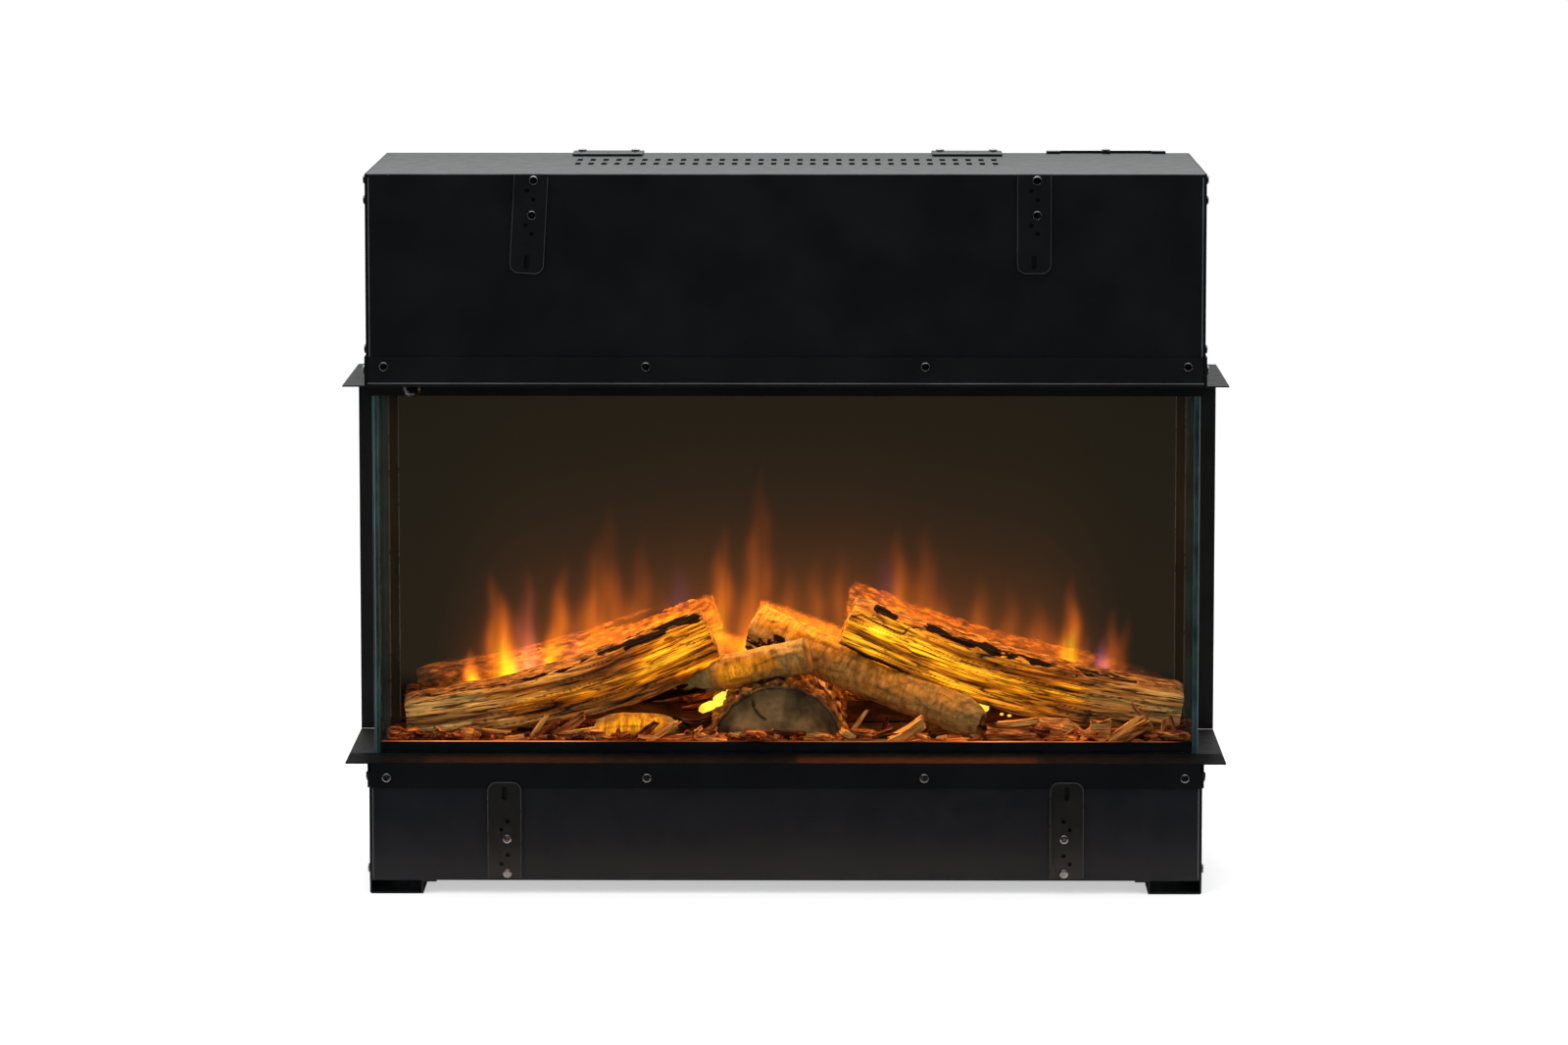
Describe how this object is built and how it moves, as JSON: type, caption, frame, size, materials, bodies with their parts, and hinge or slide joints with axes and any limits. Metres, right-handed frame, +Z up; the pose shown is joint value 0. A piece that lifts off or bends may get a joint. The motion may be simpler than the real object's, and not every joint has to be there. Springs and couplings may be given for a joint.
{
  "type": "three-sided electric fireplace",
  "caption": "Built-in electric fireplace with glass on three sides, moulded logs before a dark flame screen, a fan heater above and wall brackets.",
  "frame": {"origin": "on the floor, at the centre of the bounding box's bottom face", "axes": "+X along the fireplace's width to the viewer's right, +Y from the front to the back, +Z up"},
  "size_m": [0.8, 0.3076, 0.6581],
  "materials": {
    "body_paint": "satin black powder paint",
    "galvanised_steel": "dull zinc",
    "bracket_paint": "satin black powder paint",
    "toughened_glass": "clear, polished edges",
    "smoked_screen": "smoked, partly mirrored",
    "log_resin_split": "moulded resin, split-wood texture",
    "log_resin_bark": "moulded resin, bark texture",
    "log_resin_birch": "moulded resin, birch texture",
    "ember_resin": "translucent orange resin, lit from below",
    "polished_steel": "mirror polish",
    "motor_can": "plain steel can",
    "aluminium_bar": "plain",
    "aluminium_wheel": "plain",
    "heater_alloy": "dull oxide",
    "circuit_board": "solder mask",
    "black_plastic": "satin",
    "dark_lens": "polished infrared lens",
    "nylon": "natural",
    "rubber": "matt",
    "wire_sleeve": "braided sleeve"
  },
  "bodies": {
    "body": {"base_pan": "galvanised_steel", "lower_front_panel": "body_paint", "upper_front_panel": "body_paint", "lower_side_left": "body_paint", "lower_side_right": "body_paint", "upper_side_left": "body_paint", "upper_side_right": "body_paint", "back_panel": "galvanised_steel", "top_panel": "body_paint", "firebox_ceiling": "body_paint", "foot_left": "body_paint", "foot_right": "body_paint", "upper_trim_front": "body_paint", "lower_trim_front": "body_paint", "upper_trim_left": "body_paint", "lower_trim_left": "body_paint", "upper_trim_right": "body_paint", "lower_trim_right": "body_paint", "rear_flange_left": "body_paint", "rear_flange_right": "body_paint", "glass_channel_top": "body_paint", "glass_channel_bottom": "body_paint", "side_glass_left": "toughened_glass", "side_glass_right": "toughened_glass", "rear_post_left": "body_paint", "rear_post_right": "body_paint", "flame_screen": "smoked_screen", "hearth_tray": "body_paint", "ember_bed": "ember_resin", "ember_lamp_bar": "aluminium_bar", "log_half_round": "log_resin_bark", "log_birch_low": "log_resin_birch", "log_birch_branch": "log_resin_birch", "log_birch_long": "log_resin_birch", "log_split_left": "log_resin_split", "log_split_right": "log_resin_split", "rotor_motor": "motor_can", "rotor_bearing": "galvanised_steel", "flame_lamp_bar": "aluminium_bar", "blower_housing": "galvanised_steel", "blower_motor": "motor_can", "heating_element": "heater_alloy", "bracket_upper_left": "bracket_paint", "bracket_upper_right": "bracket_paint", "bracket_lower_left": "bracket_paint", "bracket_lower_right": "bracket_paint", "bracket_top_left": "bracket_paint", "bracket_top_right": "bracket_paint", "receiver_dome": "dark_lens", "power_switch_body": "black_plastic", "control_board": "circuit_board", "terminal_cover": "body_paint", "cable_grommet": "rubber", "terminal_block": "nylon", "wire_harness": "wire_sleeve"},
    "front_pane": {"front_glass": "toughened_glass"},
    "rotor": {"flame_rotor": "polished_steel"},
    "fan_wheel": {"blower_impeller": "aluminium_wheel"},
    "switch_rocker": {"power_switch_rocker": "black_plastic"}
  },
  "joints": [
    {"name": "front_glass_lift", "type": "slide", "parent": "body", "child": "front_pane", "axis": [0, 0, 1], "range_m": [0, 0.0085]},
    {"name": "flame_rotor_spin", "type": "hinge", "parent": "body", "child": "rotor", "pos_m": [0, 0.102, 0.186], "axis": [1, 0, 0], "continuous": true},
    {"name": "blower_spin", "type": "hinge", "parent": "body", "child": "fan_wheel", "pos_m": [0, -0.055, 0.535], "axis": [1, 0, 0], "continuous": true},
    {"name": "power_switch_rock", "type": "hinge", "parent": "body", "child": "switch_rocker", "pos_m": [0.3558, -0.13, 0.462], "axis": [0, 1, 0], "range_deg": [-14, 0]}
  ]
}
